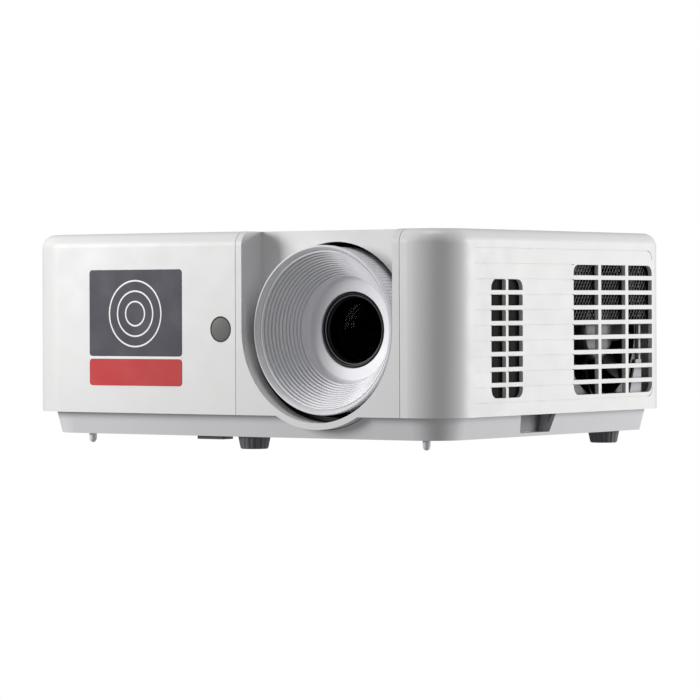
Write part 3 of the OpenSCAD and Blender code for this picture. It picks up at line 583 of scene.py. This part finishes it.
def corner_mesh():
    """The front end of the intake mesh, bent around the corner of the case."""
    low, high = node_box("vent_meshes")
    x, bend, end, z0, z1 = low.x + 0.6, -88, -104, 26, 108
    bm = bmesh.new()
    add_weave(bm, x, end + 1, bend, z0 + 1, z1 - 1)
    for a, b, c, d in ((end, bend, z0, z0 + 2), (end, bend, z1 - 2, z1), (end, end + 2, z0 + 2, z1 - 2)):
        add_box(bm, (x - 0.6, a, c), (x + 0.6, b, d))
    for cut in range(end + 1, bend):
        bmesh.ops.bisect_plane(bm, geom=bm.verts[:] + bm.edges[:] + bm.faces[:],
                               plane_co=(0, cut, 0), plane_no=(0, 1, 0))
    for v in bm.verts:
        if v.co.y < bend:
            turn = (bend - v.co.y) / CORNER_R
            r = CORNER_R - (v.co.x - x)
            v.co.x = x + CORNER_R - r * math.cos(turn)
            v.co.y = bend - r * math.sin(turn)
    finish_piece("mesh_intake_corner", bm, "mesh_black", "root")


vent_wires()
filter_pads()
corner_mesh()


# ---------------------------------------------------------------- sockets on the back
PORT_Z = 31.6
PORT_END = 113.8


def boxes_piece(name, boxes, look, body="root", bevel=0.0):
    bm = bmesh.new()
    for low, high in boxes:
        add_box(bm, low, high)
    if bevel:
        bevel_all(bm, bevel, 1)
    return finish_piece(name, bm, look, body)


def hdmi_socket(i, x):
    boxes_piece("hdmi_tongue_%d" % i, [((x - 5.4, 101, PORT_Z + 2.9), (x + 5.4, 112.6, PORT_Z + 4.1))], "port_black", bevel=0.2)
    pins = [((x - 4.6 + k * 1.0 - 0.22, 103, z), (x - 4.6 + k * 1.0 + 0.22, 112.2, z + 0.12))
            for k in range(10) for z in (PORT_Z + 2.82, PORT_Z + 4.06)]
    boxes_piece("hdmi_pins_%d" % i, pins, "gold_pin")
    bm = bmesh.new()
    for side in (-1, 1):
        add_prism(bm, [(x + side * 7.0, PORT_Z + 0.5), (x + side * 4.9, PORT_Z + 0.5), (x + side * 7.0, PORT_Z + 2.6)], 102, PORT_END - 0.1, along_y)
    finish_piece("hdmi_keying_%d" % i, bm, "port_steel", "root")


def usb_socket(x):
    boxes_piece("usb_tongue", [((x - 5.6, 101, PORT_Z + 3.9), (x + 5.6, 112.4, PORT_Z + 5.9))], "port_black", bevel=0.2)
    boxes_piece("usb_pins", [((x - 3.9 + k * 2.5 - 0.5, 103, PORT_Z + 3.8), (x - 3.9 + k * 2.5 + 0.6, 112.0, PORT_Z + 3.95)) for k in range(4)], "gold_pin")


def lan_socket(x):
    boxes_piece("lan_pins", [((x - 3.7 + k * 1.02 - 0.2, 102, PORT_Z + 10.6), (x - 3.7 + k * 1.02 + 0.2, 112.0, PORT_Z + 10.9)) for k in range(8)], "gold_pin")
    boxes_piece("lan_liner", [((x - 6.15, 99.6, PORT_Z + 1.9), (x + 6.15, 101, PORT_Z + 11.6)),
                              ((x - 6.15, 101, PORT_Z + 1.85), (x - 5.85, 113.4, PORT_Z + 11.6)),
                              ((x + 5.85, 101, PORT_Z + 1.85), (x + 6.15, 113.4, PORT_Z + 11.6))], "port_black")
    boxes_piece("lan_lights", [((x + side - 1.3, PORT_END - 0.5, PORT_Z + 0.35), (x + side + 1.3, PORT_END + 0.06, PORT_Z + 1.45)) for side in (-5.4, 5.4)], "light_clear", bevel=0.15)


def dsub_socket(i, x, male):
    zc = PORT_Z + 6.2
    skirt = [(x - 8.75, zc + 4.4), (x + 8.75, zc + 4.4), (x + 8.75, zc - 4.4), (x - 8.75, zc - 4.4)]
    hole = [(x - 8.45, zc + 4.15), (x + 8.45, zc + 4.15), (x + 8.45, zc - 4.15), (x - 8.45, zc - 4.15)]
    bm = bmesh.new()
    loops = [[bm.verts.new((a, h, b)) for a, b in ring] for ring, h in ((skirt, 109.7), (skirt, 115.0), (hole, 115.0), (hole, 109.7))]
    for one, two in zip(loops, loops[1:] + loops[:1]):
        for k in range(4):
            bm.faces.new((one[k], one[(k + 1) % 4], two[(k + 1) % 4], two[k]))
    bevel_all(bm, 0.12, 2)
    finish_piece("dsub_shell_%d" % i, bm, "port_steel", "root")
    bm = bmesh.new()
    rows = ((4, 1.42), (5, -1.42)) if male else ((5, 2.0), (5, 0.0), (5, -2.0))
    for r, (count, dz) in enumerate(rows):
        for k in range(count):
            px = x + (k - (count - 1) / 2) * (2.77 if male else 2.29) + (0.0 if male or r != 1 else 1.15)
            add_prism(bm, circle_points(px, zc + dz, 0.5 if male else 0.55, 16), 110.2, 113.6 if male else 110.36, along_y)
    finish_piece("dsub_contacts_%d" % i, bm, "gold_pin" if male else "port_black", "root")
    bm = bmesh.new()
    for side in (-12.5, 12.5):
        hexagon = circle_points(x + side, zc, 2.5, 6)
        inner = circle_points(x + side, zc, 1.3, 6)
        rings = [[bm.verts.new((a, h, b)) for a, b in ring] for ring, h in ((hexagon, 109.85), (hexagon, 113.5), (inner, 113.5), (inner, 109.85))]
        for one, two in zip(rings, rings[1:] + rings[:1]):
            for k in range(6):
                bm.faces.new((one[k], one[(k + 1) % 6], two[(k + 1) % 6], two[k]))
    finish_piece("dsub_posts_%d" % i, bm, "steel", "root")


def jack_rings():
    low, high = node_box("audio_jacks")
    bm = bmesh.new()
    for x in (low.x + 4.5, high.x - 4.5):
        add_lathe(bm, [(1.85, PORT_END - 0.4), (2.95, PORT_END - 0.4), (2.95, PORT_END + 0.05), (2.7, PORT_END + 0.2), (1.85, PORT_END + 0.2)], (x, 0, PORT_Z + 5), turns=40)
    finish_piece("jack_rings", bm, "port_steel", "root")


def inlet_pins():
    low, high = node_box("ac_inlet")
    x, z = (low.x + high.x) / 2, 40
    boxes_piece("inlet_pins", [((x + dx - 1.15, 99.2, z - 2.15 + lift), (x + dx + 1.15, 111.7, z + 2.15 + lift)) for dx, lift in ((-7, 0), (0, 2), (7, 0))],
                "steel", bevel=0.25)


for i, x in enumerate((52, 72)):
    hdmi_socket(i, x)
usb_socket(33)
lan_socket(92)
dsub_socket(0, 5, False)
dsub_socket(1, -31, True)
jack_rings()
inlet_pins()


# ---------------------------------------------------------------- marks on the keys
def stroke(x0, y0, x1, y1, half=0.28):
    d = Vector((x1 - x0, y1 - y0)).normalized() * half
    return [(x0 - d.x - d.y, y0 - d.y + d.x), (x0 - d.x + d.y, y0 - d.y - d.x), (x1 + d.x + d.y, y1 + d.y - d.x), (x1 + d.x - d.y, y1 + d.y + d.x)]


KEY_TOP = 124.05


def key_cap(name):
    """Cap with a soft edge, the flange that holds it under the bezel and the stem that presses the switch."""
    low, high = node_box(name)
    cx, cy = (low.x + high.x) / 2, (low.y + high.y) / 2
    a, b = (high.x - low.x) / 2 - 1.2, (high.y - low.y) / 2 - 1.2
    flange = high.z - 6.2

    def outline(grow):
        if abs(a - b) < 0.01:
            return circle_points(cx, cy, a + grow, 48)
        return round_rect(cx - a - grow, cx + a + grow, cy - b - grow, cy + b + grow, 1.5 + grow)
    bm = bmesh.new()
    add_prism(bm, outline(0), flange + 0.6, KEY_TOP, along_z)
    add_prism(bm, outline(1.2), flange, flange + 1.3, along_z)
    bevel_all(bm, 0.35, 3)
    add_prism(bm, circle_points(cx, cy, 1.6, 24), low.z, flange + 0.5, along_z)
    finish_piece(name + "_cap", bm, "key_grey", name, smooth=40, replaces=(name,))


for name in ("key_power", "key_menu", "key_source", "key_up", "key_down", "key_left", "key_right", "key_enter"):
    key_cap(name)


def key_marks():
    mid_low, mid_high = node_box("key_enter")
    mid = Vector(((mid_low.x + mid_high.x) / 2, (mid_low.y + mid_high.y) / 2))
    shapes = {
        "key_power": [stroke(0, 0.6, 0, 2.6), arc_points(0, 0, 2.6, 125, 415, 24) + arc_points(0, 0, 2.05, 415, 125, 24)],
        "key_menu": [stroke(-1.8, k, 1.8, k) for k in (-1.4, 0, 1.4)],
        "key_source": [stroke(-2.2, -1.6, 2.2, -1.6), stroke(2.2, -1.6, 2.2, 1.6), stroke(-2.2, 1.6, 2.2, 1.6),
                       stroke(-2.6, 0, 0.2, 0), [(0.2, 0.9), (0.2, -0.9), (1.4, 0)]],
        "key_enter": [circle_points(0, 0, 1.0, 24)],
    }
    for name in ("key_up", "key_down", "key_left", "key_right", *shapes):
        low, high = node_box(name)
        at = Vector(((low.x + high.x) / 2, (low.y + high.y) / 2))
        if name in shapes:
            parts = shapes[name]
        else:
            out = (at - mid).normalized()
            side = Vector((-out.y, out.x))
            parts = [[tuple(out * 1.4), tuple(side * 1.7 - out * 1.1), tuple(-side * 1.7 - out * 1.1)]]
        bm = bmesh.new()
        for part in parts:
            add_prism(bm, [(at.x + a, at.y + b) for a, b in part], KEY_TOP - 0.2, KEY_TOP + 0.03, along_z)
        finish_piece(name + "_mark", bm, "mark_and_recess_shade", name, smooth=20)


key_marks()


# Dark crosses on the screw heads stand in for their cross recesses: painted shade.
def screw_recess_shade():
    low, high = node_box("cover_screws")
    boxes = []
    for x, y in COVER_SCREWS:
        boxes += [((x - 1.9, y - 0.4, low.z - 0.03), (x + 1.9, y + 0.4, low.z + 0.4)), ((x - 0.4, y - 1.9, low.z - 0.03), (x + 0.4, y + 1.9, low.z + 0.4))]
    boxes_piece("screw_recess_shade", boxes, "mark_and_recess_shade")


COVER_SCREWS = ((-122, -99.5), (120, -92), (-128, 98), (112, 102))
screw_recess_shade()


def notch_shade_liner():
    """Darker grey plate on the back wall of the finger notch: painted shade for the recess."""
    bm = bmesh.new()
    add_prism(bm, [(-31.9, 19.2), (-29.2, 9.4), (1.2, 9.4), (3.9, 19.2)], 134.55, 134.85, along_x)
    finish_piece("notch_shade_pad", bm, "notch_shade_grey", "root")


notch_shade_liner()


# ---------------------------------------------------------------- feet
def foot(node, body):
    low, high = node_box(node)
    cx, cy = (low.x + high.x) / 2, (low.y + high.y) / 2
    top = 7.0
    ribs = 18
    bm = bmesh.new()
    rows = ((0.0, 7.3), (0.35, 7.75), (1.0, 8.05), (6.2, 9.1), (6.8, 9.2), (top, 8.9))
    steps = ribs * 8
    rings = []
    for z, r in rows:
        ring = []
        for k in range(steps):
            phase = (k % 8) / 8
            dent = 0.45 if 0.3 < phase < 0.7 and 0.5 < z < 6.5 else 0.0
            a = 2 * math.pi * k / steps
            ring.append(bm.verts.new((cx + (r - dent) * math.cos(a), cy + (r - dent) * math.sin(a), z)))
        rings.append(ring)
    for one, two in zip(rings, rings[1:]):
        for i in range(steps):
            bm.faces.new((one[i], one[(i + 1) % steps], two[(i + 1) % steps], two[i]))
    bm.faces.new(rings[0][::-1])
    bm.faces.new(rings[-1])
    finish_piece(node + "_pad", bm, "foot_rubber", body, smooth=40)
    # Screw stud with a turned thread
    bm = bmesh.new()
    stud = []
    z = top
    while z < high.z - 0.8:
        stud += [(3.97, z), (3.97, z + 0.35), (3.55, z + 0.75), (3.55, z + 0.95)]
        z += 1.25
    add_lathe(bm, [(0.01, top)] + stud + [(3.3, high.z), (0.01, high.z)], (cx, cy, 0), turns=32, axis="z", closed=False)
    finish_piece(node + "_stud", bm, "steel", body, replaces=(node,))


for node, body in (("front_foot", "front_foot"), ("rear_left_foot", "rear_left_foot"), ("rear_right_foot", "rear_right_foot")):
    foot(node, body)


# ---------------------------------------------------------------- fan rotors
BLADES = 7


def rotor(node, body, out):
    """Cup hub with swept blades; out is +1 when the open face looks along +X."""
    low, high = node_box(node)
    cy, cz = (low.y + high.y) / 2, (low.z + high.z) / 2
    face = high.x if out > 0 else low.x
    bm = bmesh.new()
    hub = [(0.01, 0.0), (13.0, 0.0)] + arc_points(15.0, -2.0, 2.0, 90, 0, 5) + [(17.0, -20.0), (14.0, -20.0), (14.0, -4.0), (0.01, -4.0)]
    add_lathe(bm, [(r, face + out * h) for r, h in hub], (0, cy, cz), turns=64, axis="x", closed=False)
    for b in range(BLADES):
        rows = []
        for i in range(7):
            r = 16.5 + 20.5 * i / 6
            sweep = 0.35 * (i / 6) ** 1.4
            row = []
            for j in range(7):
                t = j / 6
                a = 2 * math.pi * b / BLADES + sweep + (t - 0.5) * (0.72 - 0.1 * i / 6)
                x = face + out * (-2.5 - 15.0 * t + 1.6 * math.sin(math.pi * t))
                row.append((x, cy + r * math.cos(a), cz + r * math.sin(a)))
            rows.append(row)
        for offset in (0.0, 1.1):
            grid = [[bm.verts.new((x + out * offset, y, z)) for x, y, z in row] for row in rows]
            for i in range(6):
                for j in range(6):
                    bm.faces.new((grid[i][j], grid[i + 1][j], grid[i + 1][j + 1], grid[i][j + 1]))
            if offset == 0.0:
                lower = grid
        border = [(0, j) for j in range(7)] + [(i, 6) for i in range(1, 7)] + [(6, j) for j in range(5, -1, -1)] + [(i, 0) for i in range(5, 0, -1)]
        for (i, j), (m, n) in zip(border, border[1:] + border[:1]):
            bm.faces.new((lower[i][j], lower[m][n], grid[m][n], grid[i][j]))
    finish_piece(node + "_blades", bm, "rotor_grey", body, smooth=40, replaces=(node,))


rotor("exhaust_rotor", "exhaust_rotor", 1)
rotor("intake_rotor", "intake_rotor", -1)


# ---------------------------------------------------------------- light, background
def area_light(name, at, toward, size, power, color=(1, 1, 1)):
    data = bpy.data.lights.new(name, "AREA")
    data.shape = "RECTANGLE"
    data.size, data.size_y = size
    data.energy = power
    data.color = color
    light = bpy.data.objects.new(name, data)
    bpy.context.scene.collection.objects.link(light)
    light.location = at
    light.visible_camera = False
    light.rotation_euler = (Vector(toward) - Vector(at)).to_track_quat("-Z", "Y").to_euler()
    return light


def make_world(backdrop, ambient):
    """A white backdrop behind the object, and a dimmer ambient light on it."""
    world = bpy.data.worlds.new("studio")
    bpy.context.scene.world = world
    world.use_nodes = True
    nodes, links = world.node_tree.nodes, world.node_tree.links
    nodes["Background"].inputs["Strength"].default_value = ambient
    nodes["Background"].inputs["Color"].default_value = (1, 1, 1, 1)
    behind = nodes.new("ShaderNodeBackground")
    behind.inputs["Color"].default_value = (1, 1, 1, 1)
    behind.inputs["Strength"].default_value = backdrop
    mix = nodes.new("ShaderNodeMixShader")
    links.new(nodes.new("ShaderNodeLightPath").outputs["Is Camera Ray"], mix.inputs["Fac"])
    links.new(nodes["Background"].outputs["Background"], mix.inputs[1])
    links.new(behind.outputs["Background"], mix.inputs[2])
    links.new(mix.outputs["Shader"], nodes["World Output"].inputs["Surface"])


bpy.context.scene.view_settings.view_transform = "Standard"
make_world(backdrop=1.0, ambient=0.25)
area_light("left_box", (-0.66, -0.80, 0.28), (0, -0.1, 0.06), (0.4, 0.4), 7.4)
area_light("right_box", (1.35, 1.1, 0.22), (0.1, 0, 0.06), (0.9, 0.9), 23)
area_light("top_box", (0, -0.2, 4.0), (0, -0.2, 0), (1.2, 1.2), 48)
